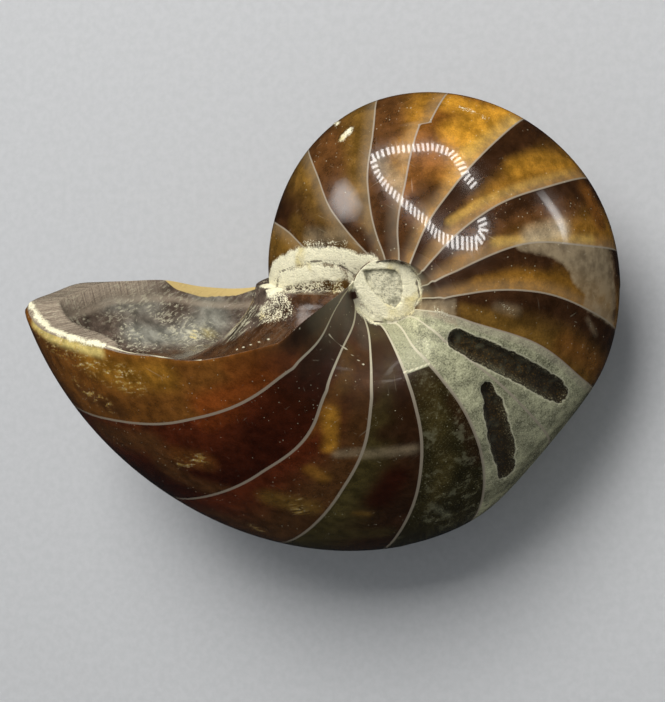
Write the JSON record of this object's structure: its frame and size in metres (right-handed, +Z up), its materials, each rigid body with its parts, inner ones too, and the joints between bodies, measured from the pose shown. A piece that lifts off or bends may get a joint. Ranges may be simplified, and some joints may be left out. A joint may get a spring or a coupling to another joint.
{
  "type": "polished fossil nautilus",
  "caption": "Whole coiled nautilus fossil, ground and polished, with its last chamber wall open as a bowl in the mouth; lies on its flank",
  "frame": {"origin": "on the surface that the fossil rests on, under the middle of its box", "axes": "+Z up from the surface it rests on; +X along its longest extent, away from the mouth; +Y towards the top of the coil as the picture shows it"},
  "size_m": [0.0774, 0.061, 0.0504],
  "materials": {
    "polished_stone": "polished brown calcite with pale chamber walls and grey-green sediment"
  },
  "bodies": {
    "root": {"nautilus_fossil": "polished_stone"}
  },
  "joints": []
}
